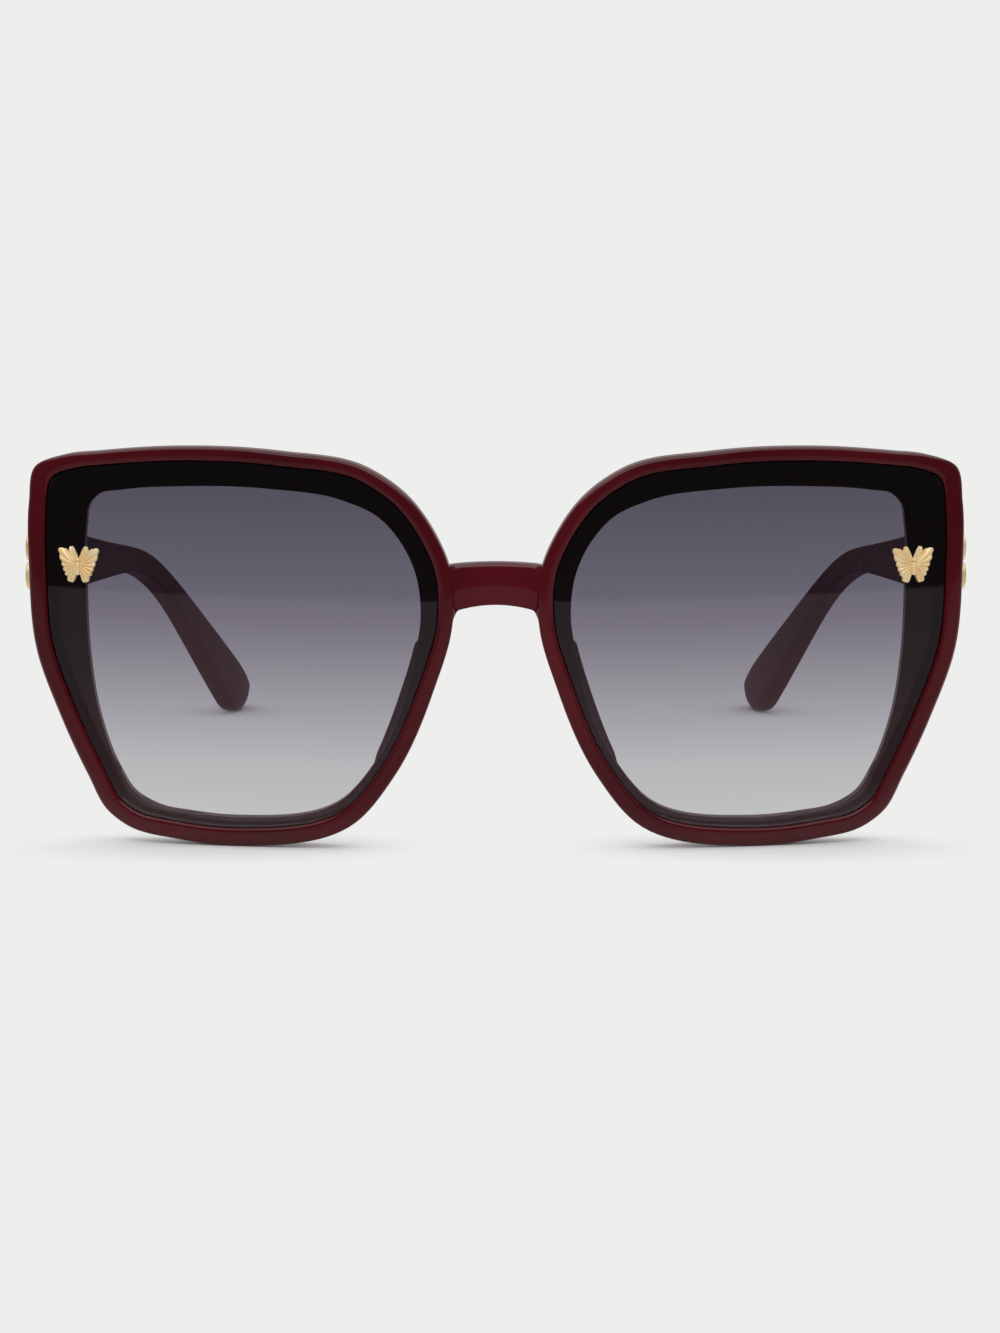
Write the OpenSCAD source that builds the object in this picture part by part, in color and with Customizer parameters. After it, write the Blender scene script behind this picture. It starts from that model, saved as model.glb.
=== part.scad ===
// Oversized square sunglasses, standing open on their rims and temple tips.
// X runs across the front, Y from the front to the temple tips, Z up.
// The front faces -Y. Left and right are the wearer's, so left is +X.
// The origin is under the middle, on the surface that the rims stand on.

/* [Front] */
// Width over both rims
front_w = 145.4; // [138:0.1:150]
// Narrowest distance between the two rims, at the bridge
rim_gap = 13.1; // [11:0.1:15]
// Height of a rim
rim_h = 61.7; // [58:0.1:65]
// Radius that the front is bent to, across and upright
front_r = 230; // [200:1:280]
// Thickness of the front
front_t = 5.2; // [4.8:0.1:6]
// Width of the lip beside and below the lens
lip_w = 2.75; // [2.4:0.05:3.2]
// Width of the lip along the brow
brow_lip_w = 2.1; // [1.9:0.05:2.8]
// Width of the lip beside the nose
nose_lip_w = 2.3; // [2:0.05:2.8]
// Rounding of the rim's outer edge, front and back
rim_round = 0.9; // [0.5:0.05:1.1]
// Bevel on the lip's inner edge
lip_bevel = 0.35; // [0.2:0.05:0.5]
// Rounding of the ledge's rear edge
ledge_round = 0.5; // [0.3:0.05:0.8]

/* [Lens] */
// Thickness of a lens
lens_t = 1.9; // [1.6:0.1:2.2]
// How far a lens lies below the lip's face
lens_set = 0.5; // [0.3:0.05:0.8]
// Clearance between a lens and the lip and ledge
lens_fit = 0.05; // [0.04:0.01:0.1]

/* [Bridge] */
// Height of the top edge of the bridge, at its middle
bridge_top = 44.4; // [43.6:0.1:44.8]
// Height of the bridge at its middle
bridge_h = 6.4; // [5.6:0.1:6.8]
// Fall of the top edge towards the rims
bridge_top_fall = 0.4; // [0.2:0.1:1]
// Fall of the lower edge towards the rims
bridge_low_fall = 1.1; // [0.5:0.1:1.6]
// Depth of the bridge's front below the rims' front
bridge_set = 1.1; // [0.95:0.05:1.5]

/* [Nose pads] */
// How far a pad stands out behind the front
pad_out = 4.2; // [3:0.1:6]
// Distance of a pad from the outer edge of its rim
pad_from_edge = 1.1; // [1:0.1:2]
// How far a pad reaches past the ledge at its middle
pad_lean = 1.45; // [0.5:0.05:2.4]
// Thickness of the glue under a pad
pad_glue = 0.03; // [0.02:0.01:0.1]

/* [Hinges] */
// Height of the hinges' middle
hinge_z = 43.2; // [42.4:0.1:43.8]
// Radius of a barrel
barrel_r = 1.35; // [1.2:0.05:1.5]
// Height of one knuckle
knuckle_h = 2.2; // [1.8:0.1:2.4]
// Thickness of a washer
washer_t = 0.2; // [0.15:0.05:0.3]
// Play between a knuckle and a washer
knuckle_play = 0.03; // [0.02:0.01:0.06]
// Radius of the screw's shank
screw_r = 0.7; // [0.6:0.05:0.8]
// Radial clearance round the screw
screw_fit = 0.03; // [0.02:0.01:0.05]
// Radius of the screw's head
screw_head_r = 1.2; // [1.05:0.05:1.3]
// Height of the screw's head
screw_head_h = 0.6; // [0.4:0.1:0.8]
// Thickness of a hinge leaf's plate
leaf_t = 1.1; // [0.9:0.1:1.2]
// How far a leaf's plate stands out of its pocket
leaf_proud = 0.15; // [0.1:0.05:0.2]
// Gap between a knuckle and the other leaf's plate
knuckle_gap = 0.2; // [0.15:0.05:0.25]
// Width of the front leaf's plate
front_leaf_w = 4; // [3.6:0.1:4.2]
// Distance from the hinge's axis to the front plate's outer edge
front_leaf_edge = 1; // [0.8:0.1:1.1]
// Height of the front leaf's plate
front_leaf_h = 8.4; // [7.6:0.1:9]
// Length of the temple leaf's plate
temple_leaf_len = 8; // [6:0.1:10]
// Height of the temple leaf's plate
temple_leaf_h = 5.2; // [4.6:0.1:6]
// Distance of the temple leaf's plate from the end of the temple
leaf_from_end = 0.6; // [0.5:0.1:0.8]
// Clearance of a leaf in its pocket
leaf_fit = 0.03; // [0.02:0.01:0.05]
// How much thinner than a knuckle its arm is, up and down together
arm_less_h = 0.4; // [0.2:0.1:0.6]
// How much narrower than a barrel an arm is, at each side
arm_less_w = 0.25; // [0.15:0.05:0.35]

/* [Temples] */
// Thickness of a temple at the hinge
temple_t = 4.6; // [4.2:0.1:5]
// Thickness of a temple at the ear bend
waist_t = 3.7; // [3.2:0.1:4]
// Thickness of the tip
tip_t = 4.4; // [3.6:0.1:4.6]
// Height of a temple at the hinge
temple_h = 9.6; // [9.2:0.1:10.4]
// Height of a temple at the ear bend
waist_h = 4.5; // [4:0.1:5.6]
// Height of the tip
tip_h = 11; // [9:0.1:12]
// Length of the tip's rounded end
tip_len = 11.7; // [8:0.1:14]
// Length from the hinge to the ear bend
shaft_len = 56; // [52:1:60]
// Length of the ear bend
bend_len = 58; // [54:1:62]
// Length from the ear bend to the end of the tip
ear_len = 37.2; // [34:0.1:40]
// Downward slope of the shaft in degrees
shaft_drop = 4.9; // [4:0.1:6]
// Downward slope of the ear piece in degrees
ear_drop = 32.1; // [29:0.1:35]
// Inward slope of the shaft in degrees
shaft_in = 3.9; // [3:0.1:5]
// Inward slope of the ear piece in degrees
ear_in = 12.6; // [10:0.1:15]
// Gap between the front and the end of an open temple
butt_gap = 0.15; // [0.1:0.05:0.3]
// How far a temple's outer face stands outside the rim
temple_proud = 0.6; // [0.3:0.1:0.9]

/* [Core wires] */
// Thickness of a core wire
wire_t = 1.2; // [1:0.1:1.3]
// Height of a core wire
wire_h = 2; // [1.6:0.1:2.4]
// Clearance of a core wire in its channel
wire_fit = 0.05; // [0.03:0.01:0.08]
// Distance of a core wire from the hinge end of its temple
wire_from_end = 1.5; // [1:0.1:3]
// Distance of its other end from where the tip's rounding begins
wire_from_tip = 10; // [8:1:20]

/* [Butterflies] */
// Wing span of a butterfly
butterfly_w = 6.6; // [5.8:0.1:7]
// Distance of a butterfly's middle from the outer edge of the front
butterfly_in = 8.3; // [7.4:0.05:8.6]
// Height of a butterfly's middle
butterfly_z = 43.4; // [41:0.1:44.4]
// Thickness of the wings
wing_t = 0.6; // [0.4:0.05:0.8]
// Radius of a wing's ribs
rib_r = 0.2; // [0.15:0.01:0.25]
// Radius of a butterfly's pin
pin_r = 0.5; // [0.4:0.05:0.55]
// Depth of the pin's hole in the ledge
pin_seat = 0.8; // [0.6:0.1:1]
// Radial clearance of a pin
pin_fit = 0.03; // [0.02:0.01:0.05]

/* [Temple ornaments] */
// Length of an ornament along the temple
plaque_len = 9; // [8:0.5:12]
// Height of one of its two bars
plaque_bar_h = 4.4; // [3.8:0.1:4.4]
// Distance between the middles of the two bars
plaque_pitch = 4.5; // [4.5:0.1:4.8]
// Thickness of its back plate
plaque_plate_t = 0.5; // [0.4:0.1:0.7]
// How far a bar stands out from the temple
plaque_out = 1.6; // [1.4:0.1:2.2]
// Distance of its front end from the end of the temple
plaque_from_end = 3; // [2.5:0.1:6]
// Even stretch of the temple behind it
plaque_margin = 1; // [0.5:0.1:2]

/* [Hidden] */

acetate = [0.36, 0.12, 0.15];
tint = [0.47, 0.47, 0.52];
gold = [0.92, 0.77, 0.50];
steel = [0.74, 0.74, 0.76];
nylon = [0.90, 0.90, 0.88];

// Steps along each span between two knots of a rim
steps = 5;
rim_w = (front_w - rim_gap) / 2;
front_mid_z = rim_h / 2;
seat_depth = lens_set + lens_t + lens_fit;

// The outline of a rim, from the lower end of the bridge up the nose side and
// round, as shares of the rim's width and height.
rim_knots = [
    [0.000, 0.571], [0.008, 0.712], [0.037, 0.784], [0.102, 0.880], [0.198, 0.951], [0.396, 0.989],
    [0.654, 0.999], [0.831, 0.985], [0.911, 0.975], [0.982, 0.945], [0.997, 0.857], [0.998, 0.694],
    [0.982, 0.484], [0.929, 0.324], [0.864, 0.170], [0.817, 0.077], [0.773, 0.042], [0.649, 0.011],
    [0.505, 0.000], [0.228, 0.066], [0.135, 0.188], [0.041, 0.412]
];

// The inner border of the ledge that carries the lens, as shares of the same
// width and height, point by point beside the outline.
ledge_knots = [
    [0.074, 0.592], [0.090, 0.704], [0.116, 0.761], [0.169, 0.827], [0.256, 0.870], [0.421, 0.896],
    [0.635, 0.900], [0.775, 0.889], [0.831, 0.877], [0.852, 0.854], [0.861, 0.801], [0.863, 0.641],
    [0.857, 0.472], [0.834, 0.314], [0.787, 0.177], [0.756, 0.125], [0.702, 0.091], [0.616, 0.075],
    [0.506, 0.068], [0.259, 0.120], [0.174, 0.229], [0.085, 0.501]
];

// Tangent at a knot of a closed curve, weighed by the distances to its neighbours
function tangent(before, at, after) =
    let (a = norm(at - before), b = norm(after - at))
    ((at - before) / a * b + (after - at) / b * a) / (a + b);

// One span of the curve between two knots
function span_point(p, q, tp, tq, t) =
    let (d = norm(q - p))
    p * (2 * t * t * t - 3 * t * t + 1) + tp * d * (t * t * t - 2 * t * t + t)
    + q * (3 * t * t - 2 * t * t * t) + tq * d * (t * t * t - t * t);

// Closed curve through the knots, with the same number of steps in each span
function closed_curve(knots) =
    let (n = len(knots))
    [for (i = [0:n - 1], s = [0:steps - 1])
        let (a = knots[(i + n - 1) % n], b = knots[i], c = knots[(i + 1) % n], d = knots[(i + 2) % n])
        span_point(b, c, tangent(a, b, c), tangent(b, c, d), s / steps)];

// The share of the rim's box as a place on the left rim
function rim_place(k) = [rim_gap / 2 + k[0] * rim_w, k[1] * rim_h];

outline = closed_curve([for (k = rim_knots) rim_place(k)]);
ledge = closed_curve([for (k = ledge_knots) rim_place(k)]);
stations = len(outline);

// Unit vector that points from the outline into the rim
function inward(i) =
    let (d = outline[(i + 1) % stations] - outline[(i + stations - 1) % stations], l = norm(d))
    [d[1], -d[0]] / l;

// Width of the lip, which is narrower where the outline faces up or the nose
function lip_at(i) =
    let (d = inward(i))
    lip_w + (brow_lip_w - lip_w) * pow(max(0, -d[1]), 2) + (nose_lip_w - lip_w) * pow(max(0, d[0]), 2);

// Place on the front, in X and Z, at a distance in from the outline
function inset_place(i, inset) = outline[i] + inward(i) * inset;

// Place on the front beside the ledge's border, at a distance back towards the outline
function ledge_place(i, back) =
    let (d = inset_place(i, lip_at(i)) - ledge[i])
    ledge[i] + d / norm(d) * back;

// A value that runs smoothly from 0 to 1
function smooth(t) = let (c = min(1, max(0, t))) c * c * (3 - 2 * c);

// Distance in Y from the middle of the bent front to a place at this depth
function bend_y(p, depth) =
    front_r - sqrt(pow(front_r - depth, 2) - pow(p[0], 2) - pow(p[1] - front_mid_z, 2));

// The path of a temple: its direction turns from the shaft's to the ear piece's
ring_len = 3;
temple_len = shaft_len + bend_len + ear_len;
path_n = round(temple_len / ring_len);
path_step = temple_len / path_n;
function bend_share(s) = smooth((s - shaft_len) / bend_len);
function drop_at(s) = shaft_drop + (ear_drop - shaft_drop) * bend_share(s);
function in_at(s) = shaft_in + (ear_in - shaft_in) * bend_share(s);
function along(s) =
    [-sin(in_at(s)) * cos(drop_at(s)), cos(in_at(s)) * cos(drop_at(s)), -sin(drop_at(s))];
function outward(s) = [cos(in_at(s)), sin(in_at(s)), 0];
function upward(s) = cross(outward(s), along(s));
path_run = [
    for (i = 0, p = [0, 0, 0]; i <= path_n; p = p + along((i + 0.5) * path_step) * path_step, i = i + 1) p
];

// The tip is rounded off mostly from below, so that its end lies above the path.
// The front's middle lies half the overall depth before the origin.
tip_rise = 0.8;
tip_back = path_run[path_n][1] + upward(temple_len)[1] * tip_rise * tip_h / 2;
temple_x = front_w / 2 + temple_proud - temple_t / 2;
temple_front = bend_y([temple_x, hinge_z], front_t + butt_gap);
half_depth = (temple_front + tip_back) / 2;
front_centre = [0, front_r - half_depth, front_mid_z];
function front_y(p, depth) = bend_y(p, depth) - half_depth;
function on_bend(p, depth) = [p[0], front_y(p, depth), p[1]];

path_start = [temple_x, temple_front - half_depth, hinge_z];
function path_point(s) =
    let (i = min(path_n - 1, floor(s / path_step)), t = s / path_step - i)
    path_start + path_run[i] * (1 - t) + path_run[i + 1] * t;

// The section of a rim at one station, from the front end of the outer wall
// over the lip, the lens seat and the ledge to the rear end of that wall
function rim_section(i) = concat(
    [for (a = [0:30:90])
        on_bend(inset_place(i, rim_round * (1 - cos(a))), rim_round * (1 - sin(a)))],
    [
        on_bend(inset_place(i, lip_at(i) - lip_bevel), 0),
        on_bend(inset_place(i, lip_at(i)), lip_bevel),
        on_bend(inset_place(i, lip_at(i)), seat_depth),
        on_bend(ledge[i], seat_depth),
        on_bend(ledge[i], front_t - ledge_round),
        on_bend(ledge_place(i, ledge_round), front_t)
    ],
    [for (a = [90:-30:0])
        on_bend(inset_place(i, rim_round * (1 - cos(a))), front_t - rim_round * (1 - sin(a)))]
);
rim_rings = [for (i = [0:stations - 1]) rim_section(i)];
rows = len(rim_rings[0]);

function mirrored(points) = [for (p = points) [-p[0], p[1], p[2]]];
function flat(lists) = [for (l = lists, p = l) p];
function pair(a, b, c, d) = [[a, b, c], [a, c, d]];
function turned(faces) = [for (f = faces) [f[2], f[1], f[0]]];
function bent_pow(v, e) = sign(v) * pow(abs(v), e);

// Faces of a rim, without the stretch of the outer wall that the bridge grows from
rim_faces = [for (i = [0:stations - 1], j = [0:rows - 1])
    if (j < rows - 1 || i >= steps)
        let (n = (i + 1) % stations, k = (j + 1) % rows)
        each pair(i * rows + j, n * rows + j, n * rows + k, i * rows + k)];

// The bridge's rings run from the left rim's wall to the right rim's wall, and
// flare into these walls over a share of half the bridge's length
bridge_fractions = [1, 0.955, 0.91, 0.85, 0.6, 0.3, 0, -0.3, -0.6, -0.85, -0.91, -0.955, -1];
flare_share = 0.15;
flare_power = 0.35;
bridge_squareness = 0.45;
wall_turn = 70;
wall_n = steps + 1;
function wall_index(k) = k < wall_n ? k * rows : (2 * wall_n - 1 - k) * rows + rows - 1;

// A ring's place in the bridge's own rounded section
function bridge_place(k, f) =
    let (
        x = rim_rings[floor(steps / 2)][0][0] * f,
        top = bridge_top - bridge_top_fall * f * f,
        low = bridge_top - bridge_h - bridge_low_fall * f * f,
        step = 2 * wall_turn / steps,
        turn = k < wall_n ? k * step - wall_turn : 180 - wall_turn + (k - wall_n) * step,
        up = sin(turn) / sin(wall_turn),
        half = (front_t - bridge_set) / 2
    )
    on_bend([x, (top + low) / 2 + up * (top - low) / 2],
        bridge_set + half - half * bent_pow(cos(turn), bridge_squareness));

function bridge_ring(f) = [for (k = [0:2 * wall_n - 1])
    let (
        wall = flat(rim_rings)[wall_index(k)],
        own = bridge_place(k, f),
        w = pow(smooth((1 - abs(f)) / flare_share), flare_power)
    )
    [wall[0] * f, wall[1] * (1 - w) + own[1] * w, wall[2] * (1 - w) + own[2] * w]];

inner_fractions = [for (i = [1:len(bridge_fractions) - 2]) bridge_fractions[i]];
bridge_rings = [for (f = inner_fractions) bridge_ring(f)];
rim_count = stations * rows;
ring_count = 2 * wall_n;

function bridge_index(r, k) =
    r == 0 ? wall_index(k)
    : r == len(inner_fractions) + 1 ? rim_count + wall_index(k)
    : 2 * rim_count + (r - 1) * ring_count + k;

bridge_faces = [for (r = [0:len(inner_fractions)], k = [0:ring_count - 1])
    let (n = (k + 1) % ring_count)
    each pair(bridge_index(r, k), bridge_index(r + 1, k), bridge_index(r + 1, n), bridge_index(r, n))];

// Puts children on the bent front at a place and depth, with their Z out of it
module on_front(p, depth) {
    y = front_y(p, depth);
    lift = asin((p[1] - front_mid_z) / (front_r - depth));
    translate([p[0], y, p[1]]) rotate([90 - lift, 0, atan2(p[0], front_centre[1] - y)]) children();
}

module other_side() {
    mirror([1, 0, 0]) children();
}

module both_sides() {
    children();
    other_side() children();
}

// Tube or horn through rings of equal length, closed at both ends
module loft(rings) {
    m = len(rings[0]);
    last = (len(rings) - 1) * m;
    polyhedron(
        points = flat(rings),
        faces = concat(
            [for (i = [0:len(rings) - 2], j = [0:m - 1])
                let (k = (j + 1) % m)
                each pair(i * m + j, i * m + k, (i + 1) * m + k, (i + 1) * m + j)],
            [for (j = [1:m - 2]) [0, j + 1, j]],
            [for (j = [1:m - 2]) [last, last + j, last + j + 1]]
        )
    );
}

// The hinge's axis is upright, behind the front and inside the temple
axis_depth = front_t + leaf_proud + knuckle_gap + barrel_r;
axis_x = temple_x - temple_t / 2 - leaf_proud - knuckle_gap - barrel_r;
axis_y = front_y([axis_x, hinge_z], axis_depth);
axis_start = [axis_x, axis_y, hinge_z] - path_start;
axis_out = axis_start * outward(0);
axis_along = axis_start * along(0);
barrel_h = 3 * knuckle_h + 2 * washer_t + 4 * knuckle_play;
barrel_low = hinge_z - barrel_h / 2;
middle_low = hinge_z - knuckle_h / 2;
screw_bore_r = screw_r + screw_fit;
arm_h = knuckle_h - arm_less_h;
arm_half = barrel_r - arm_less_w;
screw_slot_w = 0.3;
leaf_mid = leaf_from_end + temple_leaf_len / 2;
stud_r = 0.6;

// The thick end stays even as far as the ornament reaches, then tapers into the
// bend, and the ear piece spreads from there to the tip
taper_share = 0.19;
spread_share = 0.585;
taper_power = 1.25;
even_len = plaque_from_end + plaque_len + plaque_margin;
taper_len = shaft_len + bend_len * taper_share - even_len;
spread_from = shaft_len + bend_len * spread_share;
function taper(s) = pow(1 - min(1, max(0, (s - even_len) / taper_len)), taper_power);
function spread(s) = smooth((s - spread_from) / (temple_len - spread_from));
function temple_t_at(s) = waist_t + (temple_t - waist_t) * taper(s) + (tip_t - waist_t) * spread(s);
function temple_h_at(s) = waist_h + (temple_h - waist_h) * taper(s) + (tip_h - waist_h) * spread(s);

// A ring round the path, or round a line above it. Its corners get rounder
// towards the tip.
section_n = 16;
function squareness(s) = 0.35 + 0.25 * spread(s);
function section_ring(s, t, h, above = 0) = [for (j = [0:section_n - 1])
    let (a = 360 * j / section_n)
    path_point(s) + outward(s) * (t / 2 * bent_pow(cos(a), squareness(s)))
    + upward(s) * (above + h / 2 * bent_pow(sin(a), squareness(s)))];

// A ring's points moved along Y onto the front's back face
function on_butt(ring) = [for (p = ring) on_bend([p[0], p[2]], front_t + butt_gap)];

body_len = temple_len - tip_len;
body_n = round(body_len / ring_len);
wire_ring_len = 5;
wire_end = body_len - wire_from_tip;
channel_n = round(wire_end / wire_ring_len);
channel_step = wire_end / channel_n;
channel_t = wire_t + 2 * wire_fit;
channel_h = wire_h + 2 * wire_fit;

temple_rings = concat(
    [for (i = [channel_n:-1:1]) section_ring(i * channel_step, channel_t, channel_h)],
    [on_butt(section_ring(0, channel_t, channel_h))],
    [on_butt(section_ring(0, temple_t, temple_h))],
    [for (i = [1:body_n])
        let (s = i * body_len / body_n)
        section_ring(s, temple_t_at(s), temple_h_at(s))],
    [for (a = [12:12:84])
        let (s = body_len + tip_len * sin(a), h = temple_h_at(s))
        section_ring(s, temple_t_at(s) * sqrt(cos(a)), h * cos(a), tip_rise * h / 2 * (1 - cos(a)))]
);

// Places children in a temple's frame at a distance along it: X out of its
// outer face, Y along it and Z up
module on_temple(s) {
    p = path_point(s);
    u = outward(s);
    d = along(s);
    v = upward(s);
    multmatrix([
        [u[0], d[0], v[0], p[0]],
        [u[1], d[1], v[1], p[1]],
        [u[2], d[2], v[2], p[2]]
    ]) children();
}

// Upright round bar on the hinge's axis, from one height to another
module axis_bar(r, from, to) {
    translate([axis_x, axis_y, from]) cylinder(h = to - from, r = r, $fn = 48);
}

// Plate of a front hinge leaf, larger all round by the clearance for its pocket
module front_leaf_plate(grow) {
    on_front([axis_x, hinge_z], axis_depth)
        translate([front_leaf_edge - front_leaf_w - grow, -front_leaf_h / 2 - grow, barrel_r + knuckle_gap])
            cube([front_leaf_w + 2 * grow, front_leaf_h + 2 * grow, leaf_t + grow]);
}

// Arms from the two outer knuckles to this plate
module front_leaf_arms() {
    on_front([axis_x, hinge_z], axis_depth)
        for (up = [1, -1]) translate([-arm_half, up * (barrel_h - knuckle_h) / 2 - arm_h / 2, 0])
            cube([arm_half + min(arm_half, front_leaf_edge), arm_h, barrel_r + knuckle_gap + leaf_t / 2]);
}

// Plate of a temple hinge leaf, in the temple's frame
module temple_leaf_plate(grow) {
    on_temple(leaf_mid)
        translate([-temple_t / 2 - leaf_proud, -temple_leaf_len / 2 - grow, -temple_leaf_h / 2 - grow])
            cube([leaf_t + grow, temple_leaf_len + 2 * grow, temple_leaf_h + 2 * grow]);
}

// Arm from the middle knuckle to this plate
module temple_leaf_arm() {
    on_temple(0) translate([axis_out, axis_along, -arm_h / 2])
        cube([leaf_t / 2 - temple_t / 2 - leaf_proud - axis_out, 2 * arm_half, arm_h]);
}

// Stud that joins the temple leaf to the core wire
module leaf_stud(grow) {
    on_temple(leaf_mid) rotate([0, 90, 0]) translate([0, 0, leaf_t / 2 - temple_t / 2])
        cylinder(h = temple_t / 2 - leaf_t / 2 - wire_t / 2, r = stud_r + grow, $fn = 32);
}

// Pin of a butterfly, from under its wings into the ledge
butterfly_at = [front_w / 2 - butterfly_in, butterfly_z];
module butterfly_pin(grow) {
    on_front(butterfly_at, seat_depth + pin_seat + grow)
        cylinder(h = seat_depth + pin_seat - lens_set + wing_t / 2 + grow, r = pin_r + grow, $fn = 32);
}

module front_frame() {
    color(acetate)
    difference() {
        polyhedron(
            points = concat(flat(rim_rings), mirrored(flat(rim_rings)), flat(bridge_rings)),
            faces = concat(
                rim_faces,
                [for (f = turned(rim_faces)) f + [rim_count, rim_count, rim_count]],
                bridge_faces
            )
        );
        both_sides() {
            front_leaf_plate(leaf_fit);
            butterfly_pin(pin_fit);
        }
    }
}

module lens() {
    color(tint)
    difference() {
        intersection() {
            rotate([90, 0, 0]) linear_extrude(front_r, center = true)
                polygon([for (i = [0:stations - 1]) inset_place(i, lip_at(i) + lens_fit)]);
            translate(front_centre) sphere(front_r - lens_set, $fn = 240);
        }
        translate(front_centre) sphere(front_r - lens_set - lens_t, $fn = 240);
        butterfly_pin(pin_fit);
    }
}

// A nose pad follows the outline's nose side downwards from below the bridge
pad_first = stations - 1.5;
pad_last = stations - 2 * steps;
pad_n = 14;
pad_section_n = 14;
pad_end_turn = 12;
pad_end_share = 0.5;
pad_skew = 0.12;

// A curve's place between two of its stations
function between(curve, i) =
    let (t = i - floor(i))
    curve[floor(i)] * (1 - t) + curve[ceil(i) % stations] * t;

// A pad's section runs from the rim's edge to the ledge, with its crest on the ledge's side
function pad_ring(t) =
    let (
        i = pad_first + (pad_last - pad_first) * t,
        at = between(outline, i),
        across = between(ledge, i) - at,
        reach = norm(across),
        swell = pow(sin(pad_end_turn + (180 - 2 * pad_end_turn) * t), 0.8),
        full = reach + pad_lean * sin(180 * t) - pad_from_edge,
        width = full * (pad_end_share + (1 - pad_end_share) * swell)
    )
    [for (j = [0:pad_section_n - 1])
        let (
            a = 180 * j / (pad_section_n - 1),
            in = pad_from_edge + full - width + width * ((1 - cos(a)) / 2 + pad_skew * sin(a))
        )
        on_bend(at + across / reach * in, front_t + pad_glue + pad_out * swell * sin(a))];

module nose_pad() {
    color(acetate) loft([for (i = [pad_n:-1:0]) pad_ring(i / pad_n)]);
}

// Half of a butterfly's outline as shares of its span, from the notch between
// the upper wings round to the tail
wing_knots = [
    [0.000, 0.200], [0.060, 0.260], [0.150, 0.400], [0.205, 0.420], [0.250, 0.345], [0.330, 0.390],
    [0.430, 0.395], [0.500, 0.320], [0.475, 0.210], [0.445, 0.120], [0.425, 0.020], [0.375, -0.090],
    [0.345, -0.200], [0.275, -0.270], [0.255, -0.360], [0.190, -0.420], [0.130, -0.400], [0.070, -0.320],
    [0.000, -0.280]
];
rib_ends = [[0.175, 0.370], [0.290, 0.330], [0.440, 0.335], [0.380, 0.080], [0.300, -0.140], [0.165, -0.350]];
rib_root = [0.035, -0.010];
body_from = -0.20;
body_to = 0.16;
body_r = 1.6 * rib_r;

module butterfly() {
    half = [for (k = wing_knots) k * butterfly_w];
    color(gold)
    union() {
        on_front(butterfly_at, lens_set) {
            linear_extrude(wing_t)
                polygon(concat(half, [for (i = [len(half) - 2:-1:1]) [-half[i][0], half[i][1]]]));
            for (wing = [1, -1], e = rib_ends)
                let (a = rib_root * butterfly_w, d = e * butterfly_w - a)
                translate([wing * a[0], a[1], wing_t]) rotate([0, 0, atan2(d[1], wing * d[0])])
                    rotate([0, 90, 0]) cylinder(h = norm(d), r = rib_r, $fn = 24);
            translate([0, body_from * butterfly_w, wing_t]) rotate([-90, 0, 0])
                cylinder(h = (body_to - body_from) * butterfly_w, r = body_r, $fn = 24);
        }
        butterfly_pin(0);
    }
}

module hinge_front() {
    color(steel)
    difference() {
        union() {
            front_leaf_plate(0);
            front_leaf_arms();
            for (low = [barrel_low, barrel_low + barrel_h - knuckle_h])
                axis_bar(barrel_r, low, low + knuckle_h);
        }
        axis_bar(screw_bore_r, barrel_low - 1, barrel_low + barrel_h + 1);
    }
}

module hinge_washers() {
    color(nylon)
    for (low = [middle_low - knuckle_play - washer_t, middle_low + knuckle_h + knuckle_play])
        difference() {
            axis_bar(barrel_r, low, low + washer_t);
            axis_bar(screw_bore_r, low - 1, low + washer_t + 1);
        }
}

module hinge_screw() {
    top = barrel_low + barrel_h;
    color(steel)
    difference() {
        union() {
            axis_bar(screw_r, barrel_low, top + screw_head_h / 2);
            axis_bar(screw_head_r, top, top + screw_head_h);
        }
        translate([axis_x, axis_y, top + screw_head_h])
            cube([3 * screw_head_r, screw_slot_w, screw_head_h], center = true);
    }
}

module temple_hinge() {
    color(steel)
    difference() {
        union() {
            axis_bar(barrel_r, middle_low, middle_low + knuckle_h);
            temple_leaf_arm();
            temple_leaf_plate(0);
            leaf_stud(0);
        }
        axis_bar(screw_bore_r, middle_low - 1, middle_low + knuckle_h + 1);
    }
}

plaque_mid = plaque_from_end + plaque_len / 2;
bar_dome_r = plaque_bar_h * 1.8;
plaque_pin_r = 0.5;
plaque_pin_len = 1.2;

// The two pins that hold an ornament in the temple
module plaque_pins(grow) {
    on_temple(plaque_mid) for (end = [1, -1])
        translate([temple_t / 2 - plaque_pin_len - grow, end * plaque_len / 4, end * plaque_pitch / 2])
            rotate([0, 90, 0])
                cylinder(h = plaque_pin_len + plaque_plate_t / 2 + grow, r = plaque_pin_r + grow, $fn = 32);
}

// Outline of one bar seen from the side, with half round ends
function bar_outline() =
    let (r = plaque_bar_h / 2, mid = plaque_len / 2 - r)
    concat(
        [for (a = [-90:15:90]) [mid + r * cos(a), r * sin(a)]],
        [for (a = [90:15:270]) [r * cos(a) - mid, r * sin(a)]]
    );

module temple_ornament() {
    color(gold)
    union() {
        on_temple(plaque_mid) translate([temple_t / 2, 0, 0]) {
            rotate([90, 0, 90]) linear_extrude(plaque_plate_t)
                square([plaque_len - plaque_bar_h, plaque_pitch], center = true);
            for (up = [1, -1]) translate([0, 0, up * plaque_pitch / 2]) intersection() {
                rotate([90, 0, 90]) linear_extrude(plaque_out) polygon(bar_outline());
                translate([plaque_out - bar_dome_r, -plaque_len, 0]) rotate([-90, 0, 0])
                    cylinder(h = 2 * plaque_len, r = bar_dome_r, $fn = 96);
            }
        }
        plaque_pins(0);
    }
}

module temple() {
    color(acetate)
    difference() {
        loft(temple_rings);
        temple_leaf_plate(leaf_fit);
        leaf_stud(leaf_fit);
        plaque_pins(pin_fit);
    }
}

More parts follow.
